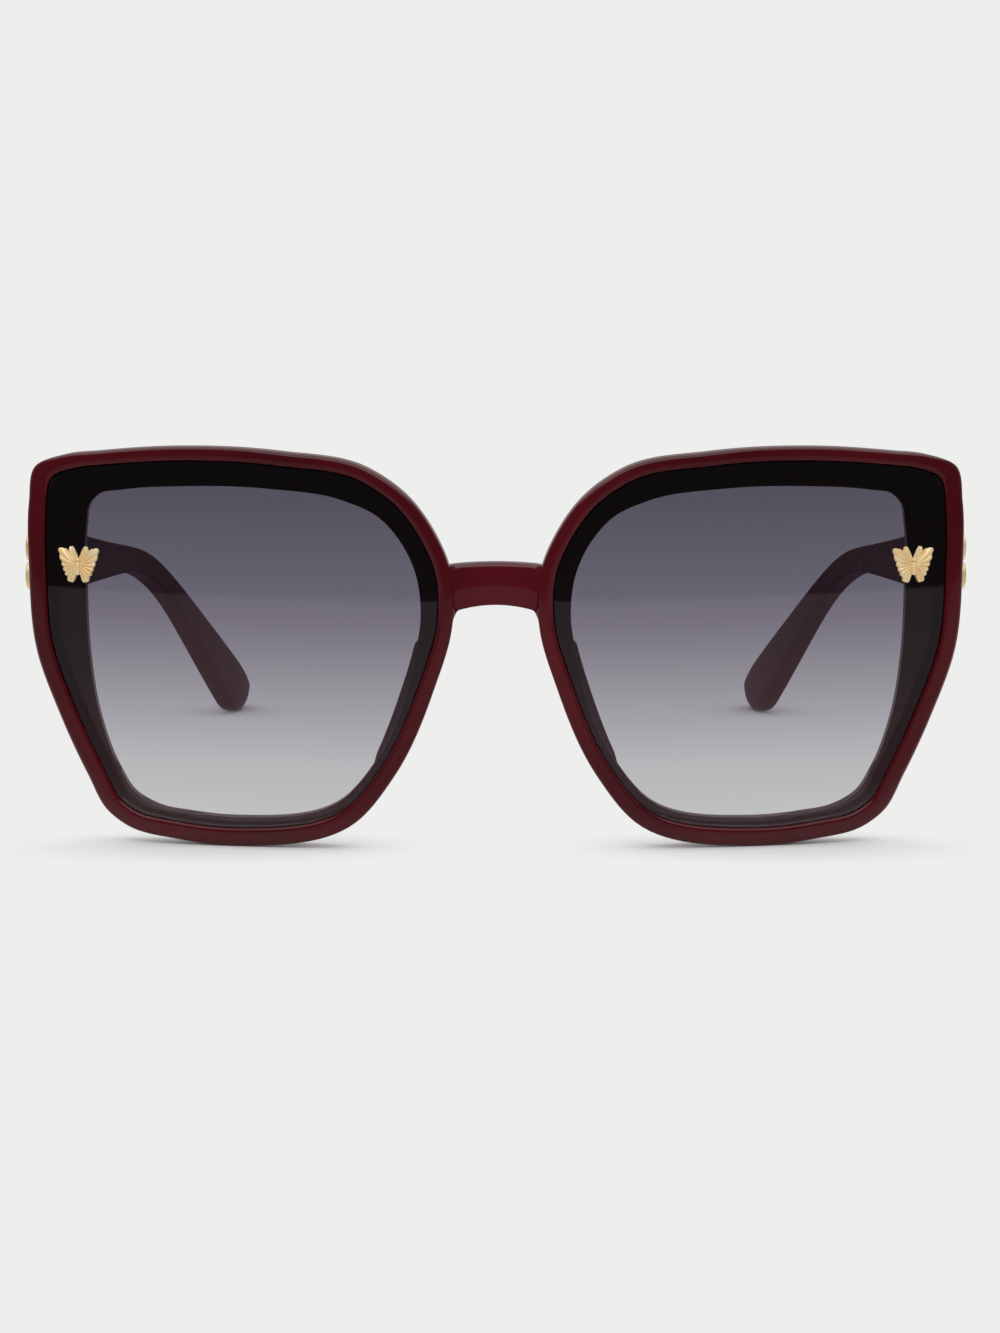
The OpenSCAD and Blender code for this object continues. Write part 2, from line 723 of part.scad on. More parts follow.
module core_wire() {
    color(steel)
    loft(concat(
        [section_ring(wire_from_end, wire_t, wire_h)],
        [for (i = [1:channel_n]) section_ring(min(i * channel_step, wire_end - wire_fit), wire_t, wire_h)]
    ));
}

front_frame();
lens();  // lens_left
other_side() lens();  // lens_right
nose_pad();  // nose_pad_left
other_side() nose_pad();  // nose_pad_right
butterfly();  // butterfly_left
other_side() butterfly();  // butterfly_right
hinge_front();  // hinge_front_left
other_side() hinge_front();  // hinge_front_right
hinge_washers();  // hinge_washers_left
other_side() hinge_washers();  // hinge_washers_right
hinge_screw();  // hinge_screw_left
other_side() hinge_screw();  // hinge_screw_right
temple_hinge();  // temple_hinge_left
other_side() temple_hinge();  // temple_hinge_right
temple();  // temple_left
other_side() temple();  // temple_right
core_wire();  // core_wire_left
other_side() core_wire();  // core_wire_right
temple_ornament();  // temple_ornament_left
other_side() temple_ornament();  // temple_ornament_right
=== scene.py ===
import math
import bpy
import bmesh
from mathutils import Matrix, Vector


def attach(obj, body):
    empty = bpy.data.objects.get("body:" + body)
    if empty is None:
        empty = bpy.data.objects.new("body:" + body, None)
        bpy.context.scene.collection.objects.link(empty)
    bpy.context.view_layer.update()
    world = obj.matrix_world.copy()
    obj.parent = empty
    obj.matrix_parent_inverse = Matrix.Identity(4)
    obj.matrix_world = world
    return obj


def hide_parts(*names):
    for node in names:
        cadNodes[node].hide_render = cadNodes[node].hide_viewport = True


# Oversized square sunglasses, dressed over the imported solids.
# All sizes are in millimetres and become metres when a mesh is made.
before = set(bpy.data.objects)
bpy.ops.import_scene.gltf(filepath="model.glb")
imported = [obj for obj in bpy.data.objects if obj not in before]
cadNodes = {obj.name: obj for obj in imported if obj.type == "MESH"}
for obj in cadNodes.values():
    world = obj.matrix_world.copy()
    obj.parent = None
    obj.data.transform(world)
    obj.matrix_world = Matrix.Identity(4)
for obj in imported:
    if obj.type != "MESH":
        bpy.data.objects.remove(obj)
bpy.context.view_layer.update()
print("frame loaded")


# Curves and places on the bent front
frontSizes = {
    "width": 145.4,
    "gap": 13.1,            # between the rims, at the bridge
    "height": 61.7,
    "bendRadius": 230.0,
    "thickness": 5.2,
    "lip": 2.75,
    "browLip": 2.1,
    "noseLip": 2.3,
    "edgeRound": 0.6,
    "lipRound": 0.55,
    "ledgeRound": 0.5,
    "ledgeBevel": 0.15,     # at the seat
    "crown": 0.05,          # the polish leaves the lip's face slightly domed
    "lensSet": 0.5,
    "lensThickness": 1.9,
    "lensGap": 0.05,
    "sharpAngle": 40,       # in degrees, from which an edge stays crisp
}
seatDepth = frontSizes["lensSet"] + frontSizes["lensThickness"] + frontSizes["lensGap"]

# Shares of a rim's width and height, from the lower end of the bridge up and round
rimKnots = [
    (0.000, 0.571), (0.008, 0.712), (0.037, 0.784), (0.102, 0.880), (0.198, 0.951), (0.396, 0.989),
    (0.654, 0.999), (0.831, 0.985), (0.911, 0.975), (0.982, 0.945), (0.997, 0.857), (0.998, 0.694),
    (0.982, 0.484), (0.929, 0.324), (0.864, 0.170), (0.817, 0.077), (0.773, 0.042), (0.649, 0.011),
    (0.505, 0.000), (0.228, 0.066), (0.135, 0.188), (0.041, 0.412),
]
ledgeKnots = [
    (0.074, 0.592), (0.090, 0.704), (0.116, 0.761), (0.169, 0.827), (0.256, 0.870), (0.421, 0.896),
    (0.635, 0.900), (0.775, 0.889), (0.831, 0.877), (0.852, 0.854), (0.861, 0.801), (0.863, 0.641),
    (0.857, 0.472), (0.834, 0.314), (0.787, 0.177), (0.756, 0.125), (0.702, 0.091), (0.616, 0.075),
    (0.506, 0.068), (0.259, 0.120), (0.174, 0.229), (0.085, 0.501),
]
spanSteps = 14


def knotTangent(before, at, after):
    a = (at - before).length
    b = (after - at).length
    return ((at - before) / a * b + (after - at) / b * a) / (a + b)


def closedCurve(knots, steps):
    count = len(knots)
    points = []
    for i in range(count):
        a, b, c, d = (knots[(i + k) % count] for k in (-1, 0, 1, 2))
        reach = (c - b).length
        start = knotTangent(a, b, c) * reach
        end = knotTangent(b, c, d) * reach
        for s in range(steps):
            t = s / steps
            points.append(b * (2 * t**3 - 3 * t**2 + 1) + start * (t**3 - 2 * t**2 + t)
                          + c * (3 * t**2 - 2 * t**3) + end * (t**3 - t**2))
    return points


def rimPlace(share):
    rimWidth = (frontSizes["width"] - frontSizes["gap"]) / 2
    return Vector((frontSizes["gap"] / 2 + share[0] * rimWidth, share[1] * frontSizes["height"]))


rimLine = closedCurve([rimPlace(k) for k in rimKnots], spanSteps)
ledgeLine = closedCurve([rimPlace(k) for k in ledgeKnots], spanSteps)
stations = len(rimLine)


def inward(i):
    d = (rimLine[(i + 1) % stations] - rimLine[i - 1]).normalized()
    return Vector((d.y, -d.x))


lipCare = {
    "reach": 6,                 # points either way over which a turn is judged
    "turnShare": 0.72,          # share of a turn's radius that the lip may fill
    "calmings": 3,
    "cornerFrom": 7.5, "cornerTo": 10.7,        # knots beside the sharp upper corner
    "cornerCalmings": 150,
}


def lipWidth(i):
    # the lip is narrower along the brow and beside the nose, and where the outline turns sharply
    s, reach = frontSizes, lipCare["reach"]
    d = inward(i)
    width = s["lip"]
    width += (s["browLip"] - s["lip"]) * max(0, -d.y) ** 2
    width += (s["noseLip"] - s["lip"]) * max(0, d.x) ** 2
    a, b, c = rimLine[i - reach], rimLine[i], rimLine[(i + reach) % stations]
    turn = max(0.001, (b - a).angle_signed(c - b))
    return min(width, lipCare["turnShare"] * ((b - a).length + (c - b).length) / 2 / turn)


lipWidths = [lipWidth(i) for i in range(stations)]
for calming in range(lipCare["calmings"]):
    beside = lipWidths[1:] + lipWidths[:1]
    lipWidths = [(lipWidths[i - 1] + 2 * lipWidths[i] + beside[i]) / 4 for i in range(stations)]


def lipAt(i):
    return lipWidths[i % stations]


# The lip's inner edge, eased round the sharp upper corner
lipLine = [rimLine[i] + inward(i) * lipAt(i) for i in range(stations)]
cornerRange = range(round(lipCare["cornerFrom"] * spanSteps), round(lipCare["cornerTo"] * spanSteps))
for calming in range(lipCare["cornerCalmings"]):
    eased = {i: (lipLine[i - 1] + 2 * lipLine[i] + lipLine[i + 1]) / 4 for i in cornerRange}
    for i, place in eased.items():
        lipLine[i] = place


def insetPlace(i, inset):
    i %= stations
    return rimLine[i] + (lipLine[i] - rimLine[i]) * (inset / lipAt(i))


def ledgePlace(i, back):
    return ledgeLine[i] + (insetPlace(i, lipAt(i)) - ledgeLine[i]).normalized() * back


def between(curve, at):
    i = math.floor(at)
    return curve[i % stations].lerp(curve[(i + 1) % stations], at - i)


def smooth(t):
    t = min(1, max(0, t))
    return t * t * (3 - 2 * t)


def bentPower(value, power):
    return math.copysign(abs(value) ** power, value)


def bendDepth(p, depth):
    # distance in Y from the middle of the bent front
    r = frontSizes["bendRadius"]
    return r - math.sqrt((r - depth) ** 2 - p[0] ** 2 - (p[1] - frontSizes["height"] / 2) ** 2)


def cosd(a):
    return math.cos(math.radians(a))


def sind(a):
    return math.sin(math.radians(a))


# The path that a temple follows
templeSizes = {
    "thickness": 4.6, "waistThickness": 3.7, "tipThickness": 4.4,
    "height": 9.6, "waistHeight": 4.5, "tipHeight": 11.0,
    "shaft": 56.0, "bend": 58.0, "ear": 37.2,
    "shaftDrop": 4.9, "earDrop": 32.1,      # degrees
    "shaftIn": 3.9, "earIn": 12.6,
    "evenEnd": 13.0,                        # stays full as far as the ornament reaches
    "taperShare": 0.19, "taperPower": 1.25, "spreadShare": 0.585,
    "tipLength": 11.7, "tipRise": 0.8,      # the tip is rounded off mostly from below
    "buttGap": 0.15,
    "proud": 0.6,
    "hingeHeight": 43.2,
    "squareness": 0.35, "tipSquareness": 0.6,
    "walkSteps": 280, "solidWalkSteps": 50,     # the path is the sum of short straight steps
    "buttBevel": 0.15,
    "sharpAngle": 40,
}
templeLength = templeSizes["shaft"] + templeSizes["bend"] + templeSizes["ear"]


def bendShare(s):
    return smooth((s - templeSizes["shaft"]) / templeSizes["bend"])


def alongTemple(s):
    share = bendShare(s)
    drop = templeSizes["shaftDrop"] + (templeSizes["earDrop"] - templeSizes["shaftDrop"]) * share
    turn = templeSizes["shaftIn"] + (templeSizes["earIn"] - templeSizes["shaftIn"]) * share
    return Vector((-sind(turn) * cosd(drop), cosd(turn) * cosd(drop), -sind(drop)))


def outOfTemple(s):
    turn = templeSizes["shaftIn"] + (templeSizes["earIn"] - templeSizes["shaftIn"]) * bendShare(s)
    return Vector((cosd(turn), sind(turn), 0))


def walkTemple(steps):
    step = templeLength / steps
    places = [Vector((0, 0, 0))]
    for i in range(steps):
        places.append(places[-1] + alongTemple((i + 0.5) * step) * step)
    return places


templeWalk = walkTemple(templeSizes["walkSteps"])
templeX = frontSizes["width"] / 2 + templeSizes["proud"] - templeSizes["thickness"] / 2
buttDepth = frontSizes["thickness"] + templeSizes["buttGap"]
templeFront = bendDepth((templeX, templeSizes["hingeHeight"]), buttDepth)
tipUp = outOfTemple(templeLength).cross(alongTemple(templeLength))
tipLift = tipUp.y * templeSizes["tipRise"] * templeSizes["tipHeight"] / 2
tipBack = walkTemple(templeSizes["solidWalkSteps"])[-1].y + tipLift     # walked as the solids' path is
halfDepth = (templeFront + tipBack) / 2
templeStart = Vector((templeX, templeFront - halfDepth, templeSizes["hingeHeight"]))


def onBend(p, depth):
    return Vector((p[0], bendDepth(p, depth) - halfDepth, p[1]))


def templePoint(s):
    at = s / templeLength * (len(templeWalk) - 1)
    i = min(len(templeWalk) - 2, math.floor(at))
    return templeStart + templeWalk[i].lerp(templeWalk[i + 1], at - i)


def frontSeat(p, depth):
    # a seat on the bent front, with its Z out of the face
    place = onBend(p, depth)
    lift = math.asin((p[1] - frontSizes["height"] / 2) / (frontSizes["bendRadius"] - depth))
    turn = math.atan2(p[0], frontSizes["bendRadius"] - halfDepth - place.y)
    turned = Matrix.Rotation(turn, 4, "Z") @ Matrix.Rotation(math.pi / 2 - lift, 4, "X")
    return Matrix.Translation(place) @ turned


def templeSeat(s):
    # a seat in a temple's middle, with X out of its outer face and Y along it
    u, d = outOfTemple(s), alongTemple(s)
    turn = Matrix((u, d, u.cross(d))).transposed().to_4x4()
    return Matrix.Translation(templePoint(s)) @ turn


# Making of the meshes

def loopFaces(ringCount, ringSize):
    # rings of points, each joined to the next
    faces = []
    for i in range(ringCount - 1):
        for j in range(ringSize):
            k = (j + 1) % ringSize
            faces.append((i * ringSize + j, i * ringSize + k, (i + 1) * ringSize + k, (i + 1) * ringSize + j))
    return faces


def closedFaces(ringCount, ringSize):
    # the same with both ends closed
    last = (ringCount - 1) * ringSize
    return loopFaces(ringCount, ringSize) + [tuple(range(ringSize)), tuple(range(last, last + ringSize))]


def makePiece(name, points, faces, finish, sharpAngle):
    mesh = bpy.data.meshes.new(name)
    mesh.from_pydata([Vector(p) / 1000 for p in points], [], faces)
    work = bmesh.new()
    work.from_mesh(mesh)
    bmesh.ops.recalc_face_normals(work, faces=work.faces)
    work.to_mesh(mesh)
    work.free()
    mesh.shade_smooth()
    mesh.set_sharp_from_angle(angle=math.radians(sharpAngle))
    mesh.materials.append(finish)
    piece = bpy.data.objects.new(name, mesh)
    bpy.context.scene.collection.objects.link(piece)
    return piece


def mirrored(points):
    return [Vector((-p.x, p.y, p.z)) for p in points]


def joinShells(shells):
    points, faces = [], []
    for shellPoints, shellFaces in shells:
        start = len(points)
        points += shellPoints
        faces += [tuple(start + i for i in face) for face in shellFaces]
    return points, faces


def makeBothSides(node, points, faces, finish, bodyOf, sharpAngle):
    for side, sidePoints in (("left", points), ("right", mirrored(points))):
        piece = makePiece(f"{node}_{side}_looks", sidePoints, faces, finish, sharpAngle)
        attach(piece, bodyOf[side])
        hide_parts(f"{node}_{side}")


onFront = {"left": "front", "right": "front"}
onTemple = {"left": "temple_arm_left", "right": "temple_arm_right"}


# Finishes

def newFinish(name):
    finish = bpy.data.materials.new(name)
    finish.use_nodes = True
    finish.node_tree.nodes.clear()
    return finish, finish.node_tree


def addNode(tree, kind, settings=None, inputs=None, links=None):
    made = tree.nodes.new("ShaderNode" + kind)
    for key, value in (settings or {}).items():
        setattr(made, key, value)
    for key, value in (inputs or {}).items():
        made.inputs[key].default_value = value
    for key, socket in (links or {}).items():
        tree.links.new(socket, made.inputs[key])
    return made


def objectPlace(tree, stretch=(1, 1, 1)):
    place = addNode(tree, "TexCoord").outputs["Object"]
    return addNode(tree, "Mapping", None, {"Scale": stretch}, {"Vector": place}).outputs["Vector"]


def partOf(tree, place, axis):
    return addNode(tree, "SeparateXYZ", links={"Vector": place}).outputs[axis]


def grain(tree, place, scale, detail=3.0):
    inputs = {"Scale": scale, "Detail": detail, "Roughness": 0.5}
    return addNode(tree, "TexNoise", None, inputs, {"Vector": place}).outputs["Fac"]


def rangeOf(tree, value, start, end, kind="LINEAR"):
    # runs from one value to another between two (place, value) ends
    limits = {"From Min": start[0], "From Max": end[0], "To Min": start[1], "To Max": end[1]}
    return addNode(tree, "MapRange", {"interpolation_type": kind}, limits, {"Value": value}).outputs["Result"]


noiseEnds = (0.3, 0.7)      # the grain seldom leaves these


def spread(tree, noise, low, high):
    return rangeOf(tree, noise, (noiseEnds[0], low), (noiseEnds[1], high))


def calculated(tree, operation, *terms):
    # the terms are sockets or plain numbers
    made = addNode(tree, "Math", {"operation": operation})
    for term, socket in zip(terms, made.inputs):
        if isinstance(term, float):
            socket.default_value = term
        else:
            tree.links.new(term, socket)
    return made.outputs["Value"]


def blended(tree, share, first, second):
    return addNode(tree, "MixShader", links={"Fac": share, 1: first, 2: second}).outputs["Shader"]


def glowing(tree, kind, colour, strength=1.0):
    # "Emission" on a surface or "Background" in the room
    return addNode(tree, kind, None, {"Color": (*colour, 1), "Strength": strength}).outputs[kind]


def seenRays(tree, rays):
    # the rays that the camera sees, straight on or through a lens
    return calculated(tree, "MAXIMUM", rays["Is Camera Ray"], rays["Is Transmission Ray"])


def colours(tree, value, stops, tones):
    made = addNode(tree, "ValToRGB", links={"Fac": value})
    ramp = made.color_ramp
    while len(ramp.elements) < len(stops):
        ramp.elements.new(0.5)
    for element, stop, tone in zip(ramp.elements, stops, tones):
        element.position = stop
        element.color = (*tone, 1)
    return made.outputs["Color"]


def ripple(tree, height, distance):
    inputs = {"Distance": distance, "Strength": 1.0}
    return addNode(tree, "Bump", None, inputs, {"Height": height}).outputs["Normal"]


def finishSurface(tree, sockets, links):
    shader = addNode(tree, "BsdfPrincipled", None, sockets, links)
    addNode(tree, "OutputMaterial", links={"Surface": shader.outputs["BSDF"]})


acetateMake = {
    "stretch": (1, 1, 0.45), "cloudStops": (0.3, 0.52, 0.72),
    "glossScale": 260, "hairScale": 900,
    "ior": 1.49, "coatRoughness": 0.03, "coatIor": 1.5,
}


def acetateFinish(look):
    # cast sheet: soft clouds of colour, a tumbled gloss with fine hairlines
    m = acetateMake
    finish, tree = newFinish(look["name"])
    place = objectPlace(tree)
    clouds = grain(tree, objectPlace(tree, m["stretch"]), look["cloudScale"])
    body = colours(tree, clouds, m["cloudStops"], (look["dark"], look["middle"], look["light"]))
    gloss = spread(tree, grain(tree, place, m["glossScale"], detail=4.0), *look["roughness"])
    hairs = ripple(tree, grain(tree, place, m["hairScale"]), look["rippleHeight"])
    finishSurface(
        tree,
        {"IOR": m["ior"], "Specular IOR Level": look["sheen"], "Coat Weight": look["coat"],
         "Coat Roughness": m["coatRoughness"], "Coat IOR": m["coatIor"]},
        {"Base Color": body, "Roughness": gloss, "Normal": hairs},
    )
    return finish


metalMake = {"patchScale": 500, "patchStops": (0.35, 0.65)}


def metalFinish(look):
    m = metalMake
    finish, tree = newFinish(look["name"])
    brushed = grain(tree, objectPlace(tree, look["brush"]), look["grainScale"])
    patches = grain(tree, objectPlace(tree), m["patchScale"], detail=2.0)
    toned = colours(tree, patches, m["patchStops"], (look["dark"], look["light"]))
    finishSurface(
        tree,
        {"Metallic": look["metallic"]},
        {"Base Color": toned, "Roughness": spread(tree, brushed, *look["roughness"]),
         "Normal": ripple(tree, brushed, look["rippleHeight"])},
    )
    return finish


rimAcetate = acetateFinish({
    "name": "burgundyAcetate",
    "dark": (0.050, 0.0020, 0.0048), "middle": (0.070, 0.0028, 0.0066), "light": (0.092, 0.0040, 0.0090),
    "cloudScale": 42, "roughness": (0.07, 0.13), "rippleHeight": 0.0000018, "sheen": 0.36, "coat": 0.0,
})
templeAcetate = acetateFinish({
    "name": "templeAcetate",
    "dark": (0.072, 0.0090, 0.0190), "middle": (0.095, 0.0130, 0.0260), "light": (0.120, 0.0175, 0.0340),
    "cloudScale": 42, "roughness": (0.24, 0.32), "rippleHeight": 0.0000018, "sheen": 0.1, "coat": 0.0,
})
padAcetate = acetateFinish({
    "name": "clearerBurgundyAcetate",
    "dark": (0.155, 0.043, 0.066), "middle": (0.195, 0.058, 0.086), "light": (0.240, 0.078, 0.112),
    "cloudScale": 60, "roughness": (0.09, 0.15), "rippleHeight": 0.000002, "sheen": 0.6, "coat": 0.5,
})
paleGold = metalFinish({
    "name": "paleGoldPlating", "dark": (0.98, 0.71, 0.36), "light": (1.0, 0.83, 0.50),
    "brush": (1, 1, 1), "grainScale": 1600, "roughness": (0.30, 0.40), "rippleHeight": 0.000006,
    "metallic": 0.3,
})
nickelSilver = metalFinish({
    "name": "satinNickelSilver", "dark": (0.52, 0.50, 0.46), "light": (0.66, 0.64, 0.60),
    "brush": (1, 1, 9), "grainScale": 900, "roughness": (0.24, 0.40), "rippleHeight": 0.000006,
    "metallic": 1.0,
})
screwSteel = metalFinish({
    "name": "turnedSteel", "dark": (0.46, 0.46, 0.47), "light": (0.60, 0.60, 0.61),
    "brush": (1, 1, 14), "grainScale": 1200, "roughness": (0.20, 0.34), "rippleHeight": 0.000004,
    "metallic": 1.0,
})
wireSteel = metalFinish({
    "name": "drawnWire", "dark": (0.42, 0.42, 0.43), "light": (0.56, 0.56, 0.57),
    "brush": (9, 1, 9), "grainScale": 500, "roughness": (0.25, 0.42), "rippleHeight": 0.000005,
    "metallic": 1.0,
})


nylonLook = {
    "dark": (0.62, 0.61, 0.56), "light": (0.74, 0.73, 0.68), "patchScale": 700, "patchStops": (0.35, 0.65),
    "grainScale": 1500, "roughness": (0.38, 0.55), "rippleScale": 2600, "rippleHeight": 0.000006, "ior": 1.53,
}


def nylonFinish():
    n = nylonLook
    finish, tree = newFinish("naturalNylon")
    place = objectPlace(tree)
    patches = grain(tree, place, n["patchScale"], detail=2.0)
    finishSurface(
        tree,
        {"IOR": n["ior"]},
        {"Base Color": colours(tree, patches, n["patchStops"], (n["dark"], n["light"])),
         "Roughness": spread(tree, grain(tree, place, n["grainScale"]), *n["roughness"]),
         "Normal": ripple(tree, grain(tree, place, n["rippleScale"]), n["rippleHeight"])},
    )
    return finish


lensLook = {
    # light let through both faces, by height above the table in mm
    "tint": [
        (3, (0.65, 0.65, 0.67)), (13, (0.57, 0.57, 0.60)), (22, (0.41, 0.40, 0.445)),
        (31, (0.265, 0.25, 0.30)), (36, (0.20, 0.185, 0.235)), (40, (0.165, 0.155, 0.205)),
        (54, (0.11, 0.10, 0.135)),
    ],
    "tintTop": 60,
    "mirror": 0.04, "risePower": 5.0,       # 4% straight on, more at a slant, alike on both faces
    "hazeScale": 180, "roughness": (0.012, 0.035),
}


def lensFinish():
    s = lensLook
    finish, tree = newFinish("gradientLens")
    place = addNode(tree, "TexCoord").outputs["Object"]
    height = rangeOf(tree, partOf(tree, place, "Z"), (0.0, 0.0), (s["tintTop"] / 1000, 1.0))
    stops = [z / s["tintTop"] for z, tone in s["tint"]]
    # each face takes the square root, as the light crosses two
    tones = [tuple(math.sqrt(c) for c in tone) for z, tone in s["tint"]]
    through = addNode(tree, "BsdfTransparent", links={"Color": colours(tree, height, stops, tones)})
    haze = spread(tree, grain(tree, objectPlace(tree), s["hazeScale"]), *s["roughness"])
    gloss = addNode(tree, "BsdfGlossy", None, {"Color": (1, 1, 1, 1)}, {"Roughness": haze})
    facing = addNode(tree, "LayerWeight", None, {"Blend": 0.5}).outputs["Facing"]
    slant = calculated(tree, "POWER", facing, s["risePower"])
    share = rangeOf(tree, slant, (0.0, s["mirror"]), (1.0, 1.0))
    mix = blended(tree, share, through.outputs["BSDF"], gloss.outputs["BSDF"])
    addNode(tree, "OutputMaterial", links={"Surface": mix})
    return finish


tintedLens = lensFinish()
nylon = nylonFinish()
print("finishes mixed")


# The front: two rims and the bridge in one sheet
bridgeSizes = {
    "top": 44.4, "height": 6.4, "topFall": 0.4, "lowFall": 1.1,
    "set": 1.1,                 # behind the rims' front
    "flareShare": 0.15, "flarePower": 0.35,
    "squareness": 0.3, "wallTurn": 70.0,
    "rings": 46,
}
edgeSteps, faceSteps, lipSteps, ledgeSteps, wallSteps = 8, 4, 4, 5, 4      # points round a rim's section


def quarterTurn(steps):
    return [90 * k / steps for k in range(steps + 1)]


def rimSection(i):
    # from the front end of the outer wall over lip, seat and ledge, and back over that wall
    s = frontSizes
    lip, edge, t = lipAt(i), s["edgeRound"], s["thickness"]
    turns = quarterTurn(edgeSteps)
    rows = [onBend(insetPlace(i, edge * (1 - cosd(a))), edge * (1 - sind(a)) + s["crown"]) for a in turns]
    faceEnd = lip - s["lipRound"]
    for k in range(1, faceSteps):
        u = k / faceSteps
        rows.append(onBend(insetPlace(i, edge + (faceEnd - edge) * u), s["crown"] * (2 * u - 1) ** 2))
    for a in quarterTurn(lipSteps):
        rows.append(onBend(insetPlace(i, faceEnd + s["lipRound"] * sind(a)),
                           s["crown"] + s["lipRound"] * (1 - cosd(a))))
    rows.append(onBend(insetPlace(i, lip), seatDepth))
    rows.append(onBend(ledgePlace(i, s["ledgeBevel"]), seatDepth))
    rows.append(onBend(ledgeLine[i], seatDepth + s["ledgeBevel"]))
    for a in quarterTurn(ledgeSteps):
        back, deep = s["ledgeRound"] * (1 - cosd(a)), t - s["ledgeRound"] * (1 - sind(a))
        rows.append(onBend(ledgePlace(i, back), deep))
    rows += [onBend(insetPlace(i, edge * (1 - cosd(a))), t - edge * (1 - sind(a))) for a in reversed(turns)]
    for k in range(1, wallSteps):
        rows.append(onBend(rimLine[i], t - edge - (t - 2 * edge - s["crown"]) * k / wallSteps))
    return rows


rimRings = [rimSection(i) for i in range(stations)]
ringSize = len(rimRings[0])
backEnd = ringSize - wallSteps        # the row where the wall starts at the back

# Round the stretch of wall that the bridge grows from: front, top, back and underside
wallLoop = [(i, 0) for i in range(spanSteps + 1)]
wallLoop += [(spanSteps, ringSize - k) for k in range(1, wallSteps)]
wallLoop += [(i, backEnd) for i in range(spanSteps, -1, -1)]
wallLoop += [(0, backEnd + k) for k in range(1, wallSteps)]


def loopTurn(k):
    turn = bridgeSizes["wallTurn"]
    side = spanSteps + wallSteps
    if k >= side:
        return 180 + loopTurn(k - side)
    if k <= spanSteps:
        return -turn + 2 * turn * k / spanSteps
    return turn + (180 - 2 * turn) * (k - spanSteps) / wallSteps


def bridgePlace(k, f):
    s = bridgeSizes
    x = rimRings[spanSteps // 2][0].x * f
    top = s["top"] - s["topFall"] * f * f
    low = s["top"] - s["height"] - s["lowFall"] * f * f
    turn = loopTurn(k)
    up = max(-1, min(1, sind(turn) / sind(s["wallTurn"])))
    half = (frontSizes["thickness"] - s["set"]) / 2
    return onBend((x, (top + low) / 2 + up * (top - low) / 2),
                  s["set"] + half - half * bentPower(cosd(turn), s["squareness"]))


def bridgeRing(f):
    # f runs from 1 at the left rim to -1 at the right one
    w = smooth((1 - abs(f)) / bridgeSizes["flareShare"]) ** bridgeSizes["flarePower"]
    ring = []
    for k, (i, j) in enumerate(wallLoop):
        wall = rimRings[i][j]
        own = bridgePlace(k, f)
        ring.append(Vector((wall.x * f, wall.y * (1 - w) + own.y * w, wall.z * (1 - w) + own.z * w)))
    return ring


def makeFront():
    rimPoints = [p for ring in rimRings for p in ring]
    rimFaces = []
    for i in range(stations):
        n = (i + 1) % stations
        for j in range(ringSize):
            if i < spanSteps and j >= backEnd:
                continue            # the bridge grows from here
            k = (j + 1) % ringSize
            rimFaces.append((i * ringSize + j, n * ringSize + j, n * ringSize + k, i * ringSize + k))
    count = len(rimPoints)
    points = rimPoints + mirrored(rimPoints)
    faces = rimFaces + [tuple(count + i for i in reversed(face)) for face in rimFaces]
    wallIndex = [i * ringSize + j for i, j in wallLoop]
    size = len(wallLoop)
    rings = [wallIndex]
    for r in range(1, bridgeSizes["rings"]):
        f = math.cos(math.pi * r / bridgeSizes["rings"])
        rings.append(list(range(len(points), len(points) + size)))
        points += bridgeRing(f)
    rings.append([count + i for i in wallIndex])
    for a, b in zip(rings, rings[1:]):
        for k in range(size):
            n = (k + 1) % size
            faces.append((a[k], b[k], b[n], a[n]))
    front = makePiece("front_looks", points, faces, rimAcetate, frontSizes["sharpAngle"])
    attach(front, "front")
    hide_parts("front_frame")


makeFront()
print("front made")


lensSizes = {"edgeBevel": 0.15, "rings": 26, "sharpAngle": 32}


def lensEdge(i, inset):
    return insetPlace(i, lipAt(i) + frontSizes["lensGap"] + inset)


def makeLenses():
    s = lensSizes
    front, back = frontSizes["lensSet"], frontSizes["lensSet"] + frontSizes["lensThickness"]
    middle = rimPlace((0.5, 0.5))
    points = []

    def addRing(inset, depth, share=1.0):
        for i in range(stations):
            points.append(onBend(middle + (lensEdge(i, inset) - middle) * share, depth))

    shares = [1 - k / s["rings"] for k in range(s["rings"])]
    for share in reversed(shares):
        addRing(s["edgeBevel"], front, share)
    addRing(0, front + s["edgeBevel"])
    addRing(0, back - s["edgeBevel"])
    for share in shares:
        addRing(s["edgeBevel"], back, share)
    faces = closedFaces(2 * s["rings"] + 2, stations)
    makeBothSides("lens", points, faces, tintedLens, onFront, s["sharpAngle"])


makeLenses()
print("lenses ground")


padSizes = {
    "from": 0.3, "to": 2.35,                # knots down the nose side, from the bridge
    "out": 4.2, "fromEdge": 1.1, "lean": 1.4, "glue": 0.03,
    "endTurn": 12.0, "endShare": 0.5, "swellPower": 0.8, "skew": 0.12,
    "leanPower": 1.8,                       # the lean is fullest in the lower half
    "endReach": 0.75, "upperEnd": 0.37, "lowerEnd": 0.5,    # both ends stay back behind the ledge
    "rings": 44, "across": 26, "sharpAngle": 50,
}


